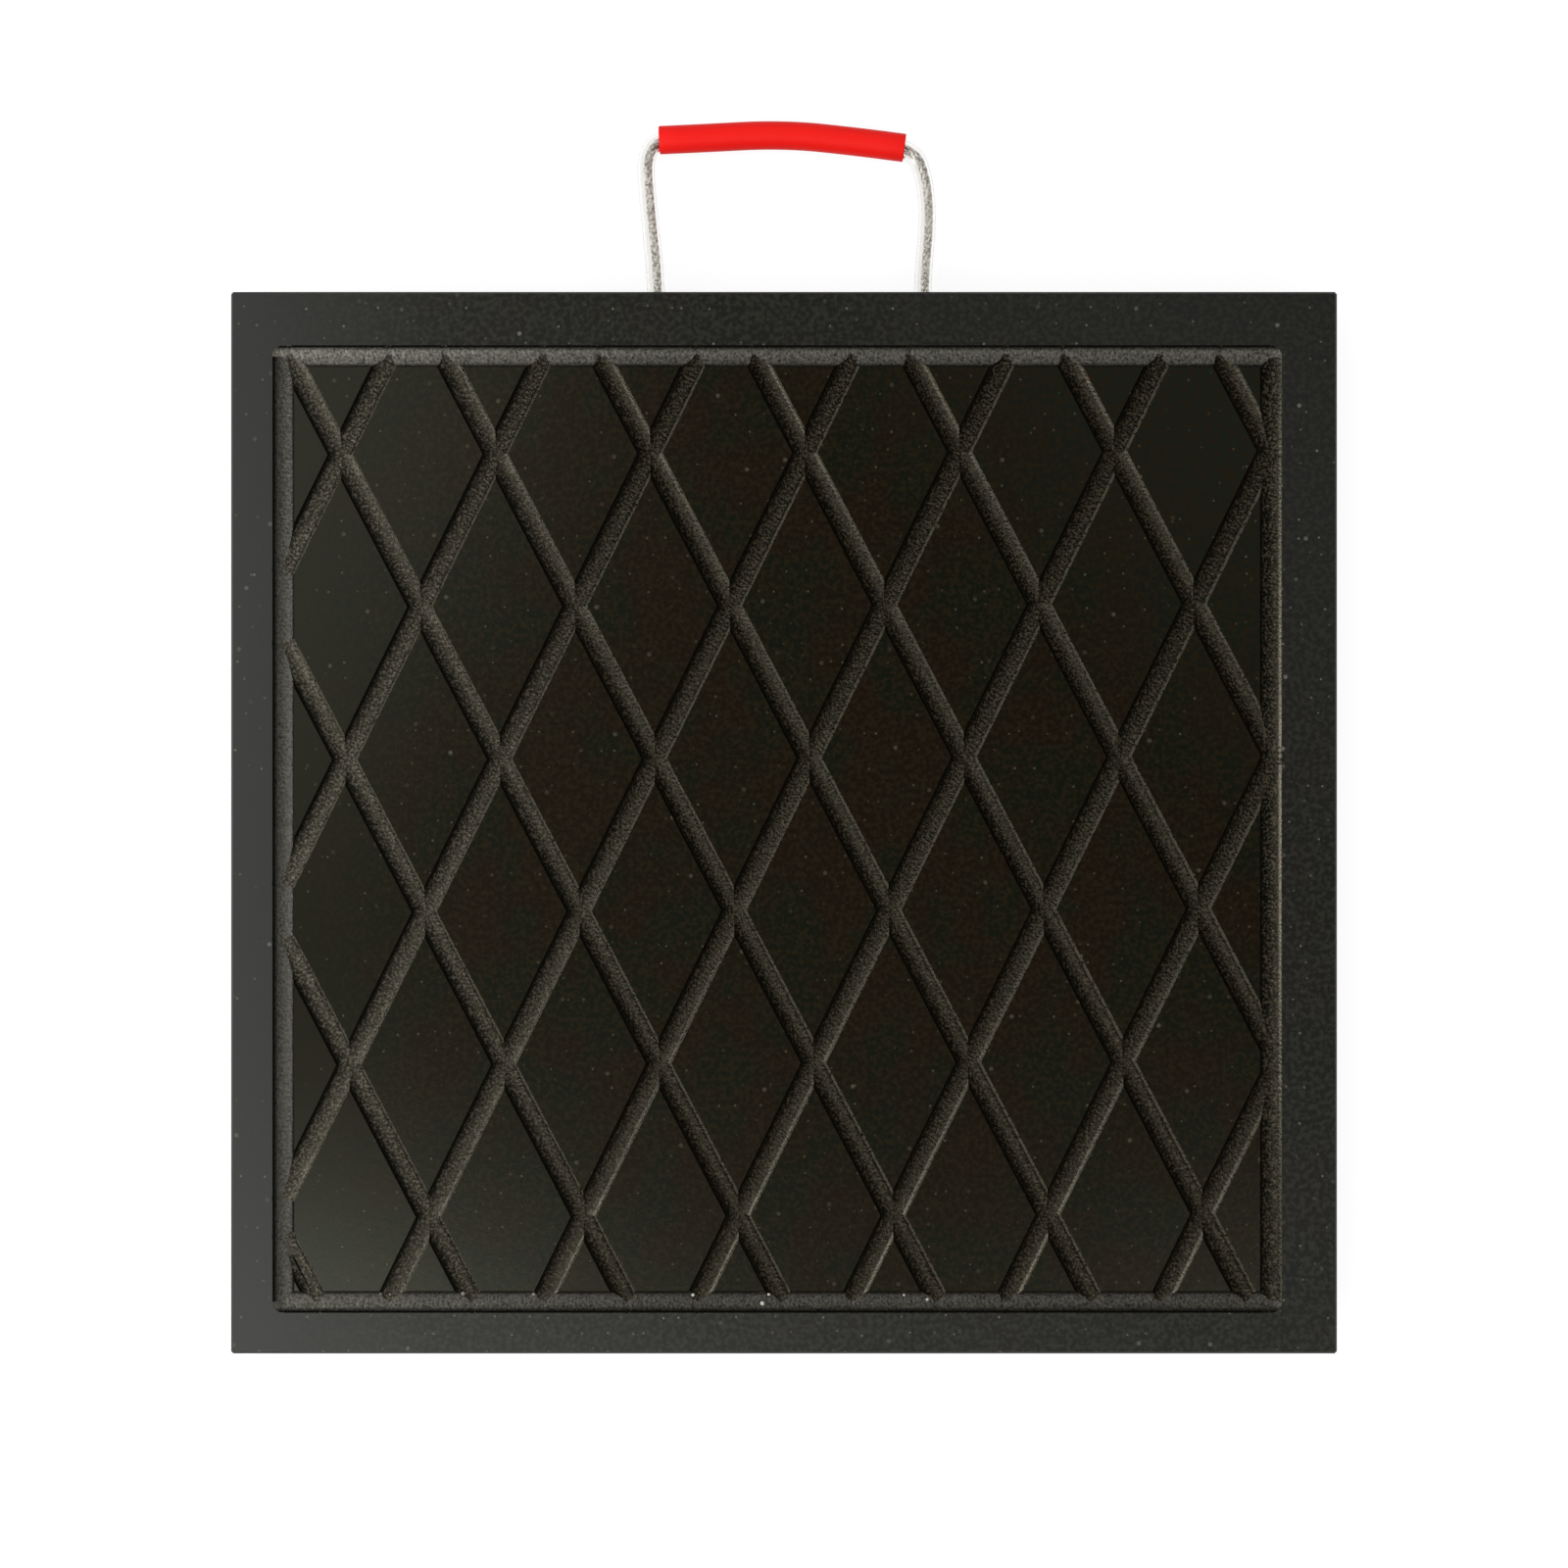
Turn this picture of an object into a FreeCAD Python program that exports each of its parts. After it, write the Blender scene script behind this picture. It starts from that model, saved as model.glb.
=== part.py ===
"""Outrigger pad: a machined polyethylene plate with a wire rope carrying handle.

Millimetres. The pad lies flat with its underside on Z = 0 and its centre on the Z axis. The
load face is up and the handle is at the +Y edge.
"""

import FreeCAD
import Part

import math
import os

import Sketcher
from FreeCAD import Vector

SIZES = {
    # Plate blank
    "pad_width": 500.0,
    "pad_length": 480.0,
    "pad_thickness": 40.0,
    "edge_chamfer": 1.0,
    # Frame groove: the flat border that it leaves on each side of the pad
    "border_left": 18.9,
    "border_right": 25.1,
    "border_handle_side": 24.3,
    "border_far_side": 18.6,
    "frame_groove_depth": 2.6,
    # Diamond grooves, milled with the frame groove's ball-nosed cutter, a little deeper
    "cutter_diameter": 12.0,
    "diamond_groove_depth": 2.9,
    "forward_pitch": 69.8,
    "forward_lean": 26.2,
    "forward_offset": -3.1,
    "back_pitch": 70.1,
    "back_lean": 27.6,
    "back_offset": 26.7,
    # Blind bores for the ends of the rope, in the +Y edge
    "left_bore_position": -58.5,
    "right_bore_position": 63.5,
    "bore_height": 20.0,
    "bore_depth": 25.0,
    "bore_clearance": 0.5,
    # Steel rope, loose in a clear sheath, with a soft sleeve as its grip
    "rope_diameter": 4.0,
    "rope_strands": 6,
    "sheath_slack": 2.0,
    "sheath_clearance": 0.05,
    "sheath_diameter": 8.0,
    "sheath_sides": 24,
    "grip_clearance": 1.0,
    "grip_wall": 1.4,
    "grip_left_setback": 6.2,
    "grip_right_setback": 3.7,
    # Share of the shorter run beside a bend that the rope's arc takes up
    "bend_share": 0.45,
}

# Half the width of the frame groove's mouth, its centreline and the common radii, in terms of
# the sheet
HALF_MOUTH = "sqrt(Sizes.frame_groove_depth * (Sizes.cutter_diameter - Sizes.frame_groove_depth))"
FRAME_LEFT = f"(Sizes.border_left + {HALF_MOUTH} - Sizes.pad_width / 2)"
FRAME_RIGHT = f"(Sizes.pad_width / 2 - Sizes.border_right - {HALF_MOUTH})"
FRAME_FAR = f"(Sizes.border_far_side + {HALF_MOUTH} - Sizes.pad_length / 2)"
FRAME_NEAR = f"(Sizes.pad_length / 2 - Sizes.border_handle_side - {HALF_MOUTH})"
CUTTER_RADIUS = "Sizes.cutter_diameter / 2"
SHEATH_RADIUS = "Sizes.sheath_diameter / 2"
GRIP_BORE_RADIUS = SHEATH_RADIUS + " + Sizes.grip_clearance"
GRIP_RADIUS = GRIP_BORE_RADIUS + " + Sizes.grip_wall"
ROPE_RADIUS = "Sizes.rope_diameter / 2"
SHEATH_BORE_RADIUS = "(Sizes.rope_diameter + Sizes.sheath_slack) / 2"
SHEATH_BORE_FLAT = SHEATH_BORE_RADIUS + " * cos(180 deg / Sizes.rope_strands)"

# The rope lies against the +X side of its sheath's bore, all but the clearance
ROPE_SHIFT = f"{SHEATH_BORE_FLAT} - {ROPE_RADIUS} - Sizes.sheath_clearance"

# The sheath's route, as steps across the pad's edge, away from it and down. The legs are measured
# from the mouths of their bores. The grip's own points are measured from the middle between the
# bores, and lie at the height at which the grip rests on the floor.
LEFT_LEG = [(0.0, 7.0, 0.0), (-4.4, 44.0, 9.0)]
LEFT_CORNER = (-5.7, 77.4)
GRIP_BOW = [(-44.0, 79.6), (-2.5, 80.8), (35.5, 76.9)]
RIGHT_CORNER = (-3.7, 72.8)
RIGHT_LEG = [(2.2, 59.0, 12.2), (3.4, 39.0, 7.5), (0.0, 7.0, 0.0)]

START, END, CENTRE = range(1, 4)
ORIGIN_POINT = (-1, START)

doc = FreeCAD.newDocument("outrigger_pad")
sheet = doc.addObject("Spreadsheet::Sheet", "Sizes")


def fill_sheet():
    """Put the driving dimensions in the spreadsheet, one aliased cell each."""
    for row, (name, value) in enumerate(SIZES.items(), start=1):
        sheet.set(f"A{row}", name)
        sheet.set(f"B{row}", str(value))
        sheet.setAlias(f"B{row}", name)
    doc.recompute()


def number(expression):
    """The value of an expression on the sheet."""
    return float(sheet.evalExpression(expression))


def new_sketch(body, name, role, height="0"):
    """A sketch on one of the body's own origin planes, moved along its normal."""
    sketch = body.newObject("Sketcher::SketchObject", name)
    plane = next(item for item in body.Origin.OriginFeatures if item.Role == role)
    sketch.AttachmentSupport = (plane, [""])
    sketch.MapMode = "FlatFace"
    sketch.setExpression("AttachmentOffset.Base.z", height)
    return sketch


def drive(sketch, kind, geometry, expression):
    """Add a dimension whose value follows the sheet."""
    index = sketch.addConstraint(Sketcher.Constraint(kind, *geometry, number(expression)))
    sketch.setExpression(f"Constraints[{index}]", expression)


def drive_point(sketch, point, x, y):
    """Dimension a point from the sketch's origin."""
    drive(sketch, "DistanceX", (*ORIGIN_POINT, *point), x)
    drive(sketch, "DistanceY", (*ORIGIN_POINT, *point), y)


def add_rectangle(sketch, left, bottom, right, top):
    """A rectangle between four expressions."""
    x0, y0, x1, y1 = (number(side) for side in (left, bottom, right, top))
    corners = [Vector(x0, y0), Vector(x1, y0), Vector(x1, y1), Vector(x0, y1)]
    sides = zip(corners, corners[1:] + corners[:1])
    lines = sketch.addGeometry([Part.LineSegment(start, end) for start, end in sides])
    joints = zip(lines, lines[1:] + lines[:1])
    rules = [Sketcher.Constraint("Coincident", one, END, other, START) for one, other in joints]
    rules += [Sketcher.Constraint("Horizontal", line) for line in lines[0::2]]
    rules += [Sketcher.Constraint("Vertical", line) for line in lines[1::2]]
    sketch.addConstraint(rules)
    drive_point(sketch, (lines[0], START), left, bottom)
    drive_point(sketch, (lines[2], START), right, top)


def add_arc(sketch, centre, radius, start_angle, turn):
    """An anticlockwise arc."""
    circle = Part.Circle(centre, Vector(0, 0, 1), radius)
    return sketch.addGeometry(Part.ArcOfCircle(circle, start_angle, start_angle + turn))


def sweep_cutter(name, ends, depth):
    """The space that the ball-nosed cutter takes up on one straight run, as a turned solid.

    The sketch stands upright on the run, with its X axis along it and its origin at the cutter's
    centre. It holds half a slot, which is turned about its own straight edge.
    """
    start, end = (Vector(number(x), number(y)) for x, y in ends)
    run = end - start
    height = number(f"Sizes.pad_thickness - {depth} + {CUTTER_RADIUS}")
    origin = Vector(start.x, start.y, height)
    upright = FreeCAD.Rotation(Vector(1, 0, 0), 90)
    turned = FreeCAD.Rotation(Vector(0, 0, 1), math.degrees(math.atan2(run.y, run.x)))
    sketch = doc.addObject("Sketcher::SketchObject", f"{name}_profile")
    sketch.Placement = FreeCAD.Placement(origin, turned * upright)
    sketch.setExpression(
        "Placement.Base.z", f"Sizes.pad_thickness - {depth} + {CUTTER_RADIUS}"
    )

    radius = number(CUTTER_RADIUS)
    entry = add_arc(sketch, Vector(0, 0), radius, math.pi / 2, math.pi / 2)
    leave = add_arc(sketch, Vector(run.Length, 0), radius, 0, math.pi / 2)
    crest = Part.LineSegment(Vector(0, radius), Vector(run.Length, radius))
    spindle = Part.LineSegment(Vector(-radius, 0), Vector(run.Length + radius, 0))
    crest, spindle = sketch.addGeometry([crest, spindle])
    sketch.addConstraint([
        Sketcher.Constraint("Coincident", entry, CENTRE, *ORIGIN_POINT),
        Sketcher.Constraint("Tangent", entry, START, crest, START),
        Sketcher.Constraint("Tangent", crest, END, leave, END),
        Sketcher.Constraint("Coincident", entry, END, spindle, START),
        Sketcher.Constraint("Coincident", leave, START, spindle, END),
        Sketcher.Constraint("PointOnObject", entry, CENTRE, spindle),
        Sketcher.Constraint("PointOnObject", leave, CENTRE, spindle),
        Sketcher.Constraint("Horizontal", spindle),
        Sketcher.Constraint("Equal", entry, leave),
    ])
    drive(sketch, "Radius", (entry,), CUTTER_RADIUS)
    (x0, y0), (x1, y1) = ends
    length = f"sqrt(({x1} - ({x0})) ^ 2 + ({y1} - ({y0})) ^ 2)"
    drive(sketch, "DistanceX", (*ORIGIN_POINT, leave, CENTRE), length)
    doc.recompute()

    swept = doc.addObject("Part::Revolution", name)
    swept.Source = sketch
    swept.Base = origin
    swept.Axis = run.normalize()
    swept.Angle = 360
    swept.Solid = True
    return swept


def groove_centreline(family, lean_sign, index):
    """The two ends of one diagonal on the frame groove's centreline, as pairs of expressions.

    A diagonal that misses the frame, or is too short to leave the frame groove, has none.
    """
    slope = f"({lean_sign} * tan(Sizes.{family}_lean))"
    crossing = f"(Sizes.{family}_offset + {index} * Sizes.{family}_pitch)"
    ends = []
    for level in (FRAME_FAR, FRAME_NEAR):
        across = f"{crossing} + {slope} * {level}"
        if number(across) < number(FRAME_LEFT):
            ends.append((FRAME_LEFT, f"({FRAME_LEFT} - {crossing}) / {slope}"))
        elif number(across) > number(FRAME_RIGHT):
            ends.append((FRAME_RIGHT, f"({FRAME_RIGHT} - {crossing}) / {slope}"))
        else:
            ends.append((across, level))
    low, high = ends
    if low[0] == high[0]:
        return None
    length = math.hypot(number(high[0]) - number(low[0]), number(high[1]) - number(low[1]))
    return ends if length > number("Sizes.cutter_diameter") else None


def sweep_groove_family(family, lean_sign):
    """The cutter's space in every diagonal groove that leans one way."""
    pitch = number(f"Sizes.{family}_pitch")
    reach = number(f"tan(Sizes.{family}_lean)") * number("Sizes.pad_length")
    first = math.floor((number(FRAME_LEFT) - reach) / pitch)
    last = math.ceil((number(FRAME_RIGHT) + reach) / pitch)
    grooves = []
    for index in range(first, last + 1):
        ends = groove_centreline(family, lean_sign, index)
        if ends is None:
            continue
        name = f"{family}_groove_{len(grooves) + 1}"
        grooves.append(sweep_cutter(name, ends, "Sizes.diamond_groove_depth"))
    return grooves


def sweep_frame_groove():
    """The cutter's space on the four sides of the frame groove."""
    corners = [
        (FRAME_LEFT, FRAME_FAR),
        (FRAME_RIGHT, FRAME_FAR),
        (FRAME_RIGHT, FRAME_NEAR),
        (FRAME_LEFT, FRAME_NEAR),
    ]
    sides = zip(("far", "right", "near", "left"), corners, corners[1:] + corners[:1])
    return [
        sweep_cutter(f"frame_groove_{side}", (start, end), "Sizes.frame_groove_depth")
        for side, start, end in sides
    ]


def cut_pocket(body, sketch, name, depth, from_below=False):
    """Cut a sketch into the body and make sure that it took material away."""
    before = body.Shape.Volume
    pocket = body.newObject("PartDesign::Pocket", name)
    pocket.Profile = sketch
    pocket.Reversed = from_below
    pocket.setExpression("Length", depth)
    doc.recompute()
    if not pocket.Shape.Volume < before:
        raise RuntimeError(f"{name} cuts nothing")


def make_pad_plate():
    """The plate: a chamfered blank with its rope bores, frame groove and diamond grooves."""
    body = doc.addObject("PartDesign::Body", "plate_blank")
    outline = new_sketch(body, "blank_outline", "XY_Plane")
    half_width = "Sizes.pad_width / 2"
    half_length = "Sizes.pad_length / 2"
    add_rectangle(outline, f"-{half_width}", f"-{half_length}", half_width, half_length)
    blank = body.newObject("PartDesign::Pad", "blank")
    blank.Profile = outline
    blank.setExpression("Length", "Sizes.pad_thickness")
    doc.recompute()
    chamfer = body.newObject("PartDesign::Chamfer", "broken_edges")
    chamfer.Base = (blank, [f"Edge{index + 1}" for index in range(len(blank.Shape.Edges))])
    chamfer.setExpression("Size", "Sizes.edge_chamfer")
    doc.recompute()

    mouths = new_sketch(body, "bore_mouths", "XZ_Plane", f"-{half_length}")
    for side in ("left", "right"):
        position = f"Sizes.{side}_bore_position"
        centre = Vector(number(position), number("Sizes.bore_height"))
        radius = f"{SHEATH_RADIUS} + Sizes.bore_clearance"
        circle = mouths.addGeometry(Part.Circle(centre, Vector(0, 0, 1), number(radius)))
        drive(mouths, "Radius", (circle,), radius)
        drive_point(mouths, (circle, CENTRE), position, "Sizes.bore_height")
    cut_pocket(body, mouths, "rope_bores", "Sizes.bore_depth", from_below=True)

    grooves = sweep_frame_groove()
    grooves += sweep_groove_family("forward", 1)
    grooves += sweep_groove_family("back", -1)
    milled = doc.addObject("Part::MultiFuse", "milled_space")
    milled.Shapes = grooves
    plate = doc.addObject("Part::Cut", "pad_plate")
    plate.Base = body
    plate.Tool = milled
    doc.recompute()
    if not plate.Shape.Volume < body.Shape.Volume:
        raise RuntimeError("the grooves cut nothing")
    return plate


def rope_points():
    """The sheath's route from the bottom of the left bore to the bottom of the right one."""
    edge = number("Sizes.pad_length / 2")
    height = number("Sizes.bore_height")
    left = number("Sizes.left_bore_position")
    right = number("Sizes.right_bore_position")
    middle = (left + right) / 2
    floor_height = number(GRIP_RADIUS)
    bottom = edge - number("Sizes.bore_depth")
    points = [Vector(left, bottom, height)]
    points += [Vector(left + x, edge + y, height - drop) for x, y, drop in LEFT_LEG]
    points += [Vector(left + LEFT_CORNER[0], edge + LEFT_CORNER[1], floor_height)]
    points += [Vector(middle + x, edge + y, floor_height) for x, y in GRIP_BOW]
    points += [Vector(right + RIGHT_CORNER[0], edge + RIGHT_CORNER[1], floor_height)]
    points += [Vector(right + x, edge + y, height - drop) for x, y, drop in RIGHT_LEG]
    points += [Vector(right, bottom, height)]
    return points


def grip_points(route):
    """The grip's route: the sheath's between its corners, set back from each of them."""
    first = len(LEFT_LEG) + 1
    left_corner, *bow, right_corner = route[first:first + len(GRIP_BOW) + 2]
    towards_bow = (bow[0] - left_corner).normalize()
    left_end = left_corner + towards_bow * number("Sizes.grip_left_setback")
    towards_bow = (bow[-1] - right_corner).normalize()
    right_end = right_corner + towards_bow * number("Sizes.grip_right_setback")
    return [left_end, *bow, right_end]


def make_path(name, points):
    """Straight runs joined by tangent arcs, each as large as its two runs allow."""
    share = number("Sizes.bend_share")
    edges = []
    radii = []
    start = points[0]
    for before, corner, after in zip(points, points[1:], points[2:]):
        inward = corner - before
        outward = after - corner
        tangent = share * min(inward.Length, outward.Length)
        half_turn = inward.getAngle(outward) / 2
        radius = tangent / math.tan(half_turn)
        inward.normalize()
        outward.normalize()
        towards_centre = (outward - inward).normalize()
        arc_start = corner - inward * tangent
        arc_end = corner + outward * tangent
        arc_middle = corner + towards_centre * (radius / math.cos(half_turn) - radius)
        edges.append(Part.LineSegment(start, arc_start).toShape())
        edges.append(Part.Arc(arc_start, arc_middle, arc_end).toShape())
        radii.append(radius)
        start = arc_end
    edges.append(Part.LineSegment(start, points[-1]).toShape())
    path = doc.addObject("Part::Feature", name)
    path.Shape = Part.Wire(edges)
    print(f"{name}: length {path.Shape.Length:.1f}, radii", [round(radius, 1) for radius in radii])
    return path


def round_section(name, radius):
    """A round outline for a sweep."""
    section = doc.addObject("Part::Circle", name)
    section.setExpression("Radius", radius)
    return section


def sided_section(name, radius, sides):
    """An outline with flat sides for a sweep, which has its corners on a radius.

    The steel rope has a corner at each of its outer strands, and so has the bore that it lies in.
    The sheath has so many sides outside that it looks round.
    """
    section = doc.addObject("Part::RegularPolygon", name)
    section.setExpression("Polygon", sides)
    section.setExpression("Circumradius", radius)
    return section


def sweep(name, path, section):
    """A solid bar along a path, which starts with the section square to it."""
    first_run = path.Shape.Edges[0]
    start = first_run.valueAt(first_run.FirstParameter)
    heading = first_run.tangentAt(first_run.FirstParameter)
    section.Placement = FreeCAD.Placement(start, FreeCAD.Rotation(Vector(0, 0, 1), heading))
    bar = doc.addObject("Part::Sweep", name)
    bar.Sections = [section]
    bar.Spine = (path, [f"Edge{index + 1}" for index in range(len(path.Shape.Edges))])
    bar.Solid = True
    doc.recompute()
    expected = Part.Face(Part.Wire(section.Shape.Edges)).Area * path.Shape.Length
    if abs(bar.Shape.Volume / expected - 1) > 0.001:
        raise RuntimeError(f"{name} has the wrong volume")
    return bar


def make_tube(name, path, outer_section, inner_section):
    """A hollow tube along a path."""
    tube = doc.addObject("Part::Cut", name)
    tube.Base = sweep(f"{name}_outside", path, outer_section)
    tube.Tool = sweep(f"{name}_inside", path, inner_section)
    doc.recompute()
    return tube


def export(parts):
    """Check the whole document, then write each sub-part under its label."""
    failed = [item.Name for item in doc.Objects if {"Invalid", "Error"} & set(item.State)]
    if failed:
        raise RuntimeError(f"failed features: {failed}")
    for part in parts:
        if part.Shape.isNull() or not part.Shape.isValid() or len(part.Shape.Solids) != 1:
            raise RuntimeError(f"{part.Label} is not one valid solid")
    os.makedirs("parts", exist_ok=True)
    for part in parts:
        part.Shape.exportStep(f"parts/{part.Label}.step")
        print(part.Label, "volume", round(part.Shape.Volume), "faces", len(part.Shape.Faces))


def main():
    """Build the pad plate and its handle."""
    fill_sheet()
    pad_plate = make_pad_plate()
    route = rope_points()
    sheath_path = make_path("sheath_path", route)
    shift = Vector(number(ROPE_SHIFT), 0, 0)
    rope_path = make_path("rope_path", [point + shift for point in route])
    grip_path = make_path("grip_path", grip_points(route))
    rope_section = sided_section("rope_section", ROPE_RADIUS, "Sizes.rope_strands")
    wire_rope = sweep("wire_rope", rope_path, rope_section)
    rope_sheath = make_tube(
        "rope_sheath",
        sheath_path,
        sided_section("sheath_outer_section", SHEATH_RADIUS, "Sizes.sheath_sides"),
        sided_section("sheath_inner_section", SHEATH_BORE_RADIUS, "Sizes.rope_strands"),
    )
    grip_sleeve = make_tube(
        "grip_sleeve",
        grip_path,
        round_section("grip_outer_section", GRIP_RADIUS),
        round_section("grip_bore_section", GRIP_BORE_RADIUS),
    )
    export([pad_plate, wire_rope, rope_sheath, grip_sleeve])


main()
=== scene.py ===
"""Dresses an outrigger pad for a plain studio picture.

The pad is a black polyethylene plate, sawn to size, planed on both faces and milled with a frame
groove and a lattice of diamonds. Its carrying handle is a galvanised wire rope in a clear sheath,
with a soft red grip. Metres throughout, +Z up, and the handle on the +Y side.
"""

import logging
import math
from dataclasses import dataclass, field, replace
from enum import Enum
from typing import NamedTuple

import bpy
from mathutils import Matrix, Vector


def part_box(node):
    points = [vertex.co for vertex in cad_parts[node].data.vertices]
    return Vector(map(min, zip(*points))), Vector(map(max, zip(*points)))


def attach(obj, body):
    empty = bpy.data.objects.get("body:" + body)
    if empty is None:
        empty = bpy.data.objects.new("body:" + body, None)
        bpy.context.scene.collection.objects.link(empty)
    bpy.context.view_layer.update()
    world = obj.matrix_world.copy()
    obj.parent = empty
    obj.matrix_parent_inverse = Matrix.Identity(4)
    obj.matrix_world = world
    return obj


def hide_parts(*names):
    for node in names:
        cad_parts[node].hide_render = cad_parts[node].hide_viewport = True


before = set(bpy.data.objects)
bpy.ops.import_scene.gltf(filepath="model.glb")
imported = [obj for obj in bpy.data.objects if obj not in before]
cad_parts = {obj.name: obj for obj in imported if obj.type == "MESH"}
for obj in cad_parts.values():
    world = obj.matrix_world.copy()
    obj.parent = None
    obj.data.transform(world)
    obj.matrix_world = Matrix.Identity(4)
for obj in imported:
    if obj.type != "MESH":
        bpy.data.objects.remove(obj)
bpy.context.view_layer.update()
MM = 0.001
BODY = "root"
# Polyethylene and soft PVC both lie close to this
PLASTIC_IOR = 1.5

log = logging.getLogger("outrigger_pad")


class Slot(Enum):
    """The record's material slots."""

    PLATE = "black_polyethylene"
    STEEL = "galvanised_steel"
    SHEATH = "clear_pvc"
    GRIP = "red_pvc"


class Finish(Enum):
    """The plate's finishes, by the tool and the groove that left them."""

    PLANED_BORDER = "planed_border"
    PLANED_FIELD = "planed_field"
    MILLED_FORWARD = "milled_forward"
    MILLED_BACK = "milled_back"
    MILLED_LEFT = "milled_left"
    MILLED_RIGHT = "milled_right"
    MILLED_FAR_END = "milled_far_end"
    MILLED_HANDLE_END = "milled_handle_end"
    MILLED_HANDLE_CROSSINGS = "milled_handle_crossings"
    SAWN_EDGE = "sawn_polyethylene"
    # The chamfers are painted near black: painted shade for the dark outline at the plate's edges
    SCRAPED_CHAMFER = "chamfers_painted_dark"


def linear(hex_colour: str) -> tuple[float, float, float, float]:
    """Turn an sRGB colour into the linear one that shaders take.

    Args:
        hex_colour: A hash sign and six hex digits.

    Returns:
        Red, green and blue, with an alpha of one.
    """
    levels = [int(hex_colour[place:place + 2], 16) / 255 for place in (1, 3, 5)]
    red, green, blue = (
        level / 12.92 if level <= 0.04045 else ((level + 0.055) / 1.055) ** 2.4
        for level in levels
    )
    return red, green, blue, 1.0


def add_node(
    tree: bpy.types.NodeTree,
    kind: str,
    settings: dict[str, object] | None = None,
    sockets: dict[str | int, object] | None = None,
) -> bpy.types.Node:
    """Add a node, set it up and wire it.

    Args:
        tree: The node tree that gets the node.
        kind: The node's type, without its ShaderNode prefix.
        settings: Values of the node's own properties.
        sockets: Values of its inputs, or the outputs that feed them, by name or number.

    Returns:
        The new node.
    """
    node = tree.nodes.new(f"ShaderNode{kind}")
    for name, value in (settings or {}).items():
        setattr(node, name, value)
    for key, value in (sockets or {}).items():
        if isinstance(value, bpy.types.NodeSocket):
            tree.links.new(value, node.inputs[key])
        else:
            node.inputs[key].default_value = value
    return node


def new_material(name: str) -> tuple[bpy.types.Material, bpy.types.NodeTree]:
    """Make an empty node material.

    Args:
        name: The finish that it shows.

    Returns:
        The material and its node tree.
    """
    material = bpy.data.materials.new(name)
    material.use_nodes = True
    material.node_tree.nodes.clear()
    return material, material.node_tree


def finish_surface(tree: bpy.types.NodeTree, shader: bpy.types.NodeSocket) -> None:
    """Wire a shader to the material's output."""
    add_node(tree, "OutputMaterial", {}, {"Surface": shader})


def deselect_all() -> None:
    """Leave object mode with nothing selected."""
    if bpy.context.object and bpy.context.object.mode != "OBJECT":
        bpy.ops.object.mode_set(mode="OBJECT")
    bpy.ops.object.select_all(action="DESELECT")


def make_active(piece: bpy.types.Object) -> None:
    """Select one object alone and make it the active one."""
    deselect_all()
    piece.select_set(True)
    bpy.context.view_layer.objects.active = piece


def dress_whole(piece: bpy.types.Object, material: bpy.types.Material) -> None:
    """Give a whole piece one material."""
    piece.data.materials.clear()
    piece.data.materials.append(material)


def new_curve(name: str, radius: float = 0.0, steps: int = 4) -> bpy.types.Object:
    """Make an empty curve, round in section.

    Args:
        name: The name of the curve and its object.
        radius: The section's radius.
        steps: How finely the section is drawn.

    Returns:
        The curve's object, linked to the scene.
    """
    curve = bpy.data.curves.new(name, "CURVE")
    curve.dimensions = "3D"
    curve.bevel_depth = radius
    curve.bevel_resolution = steps
    drawn = bpy.data.objects.new(name, curve)
    bpy.context.scene.collection.objects.link(drawn)
    return drawn


def add_line(drawn: bpy.types.Object, places: list[Vector], kind: str = "POLY") -> bpy.types.Spline:
    """Add one line to a curve.

    Args:
        drawn: The curve's object.
        places: The line's points, in order.
        kind: The kind of line, straight from point to point or smooth.

    Returns:
        The new line.
    """
    line = drawn.data.splines.new(kind)
    line.points.add(len(places) - 1)
    for point, place in zip(line.points, places):
        point.co = (*place, 1.0)
    return line


def to_mesh(drawn: bpy.types.Object) -> bpy.types.Object:
    """Turn a curve into the mesh that it draws, and leave it active.

    Args:
        drawn: The curve's object.

    Returns:
        The mesh's object, with the curve's name.
    """
    make_active(drawn)
    bpy.ops.object.convert(target="MESH")
    return bpy.context.object


def give_wall(tube: bpy.types.Object, thickness: float) -> None:
    """Give the active tube a wall, inwards from its surface.

    Args:
        tube: The tube, as one open skin.
        thickness: The wall's thickness.
    """
    wall = tube.modifiers.new("wall", "SOLIDIFY")
    wall.thickness = thickness
    wall.offset = -1.0
    bpy.ops.object.modifier_apply(modifier=wall.name)


def settle(piece: bpy.types.Object, slot: Slot, *nodes: str) -> None:
    """Hand a finished piece over to the frame.

    Args:
        piece: The piece, with its place in its mesh.
        slot: The record's material slot for it; not used.
        nodes: The CAD nodes that it stands for.
    """
    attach(piece, BODY)
    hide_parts(*nodes)
    log.info("%s stands for %s", piece.name, ", ".join(nodes))


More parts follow.
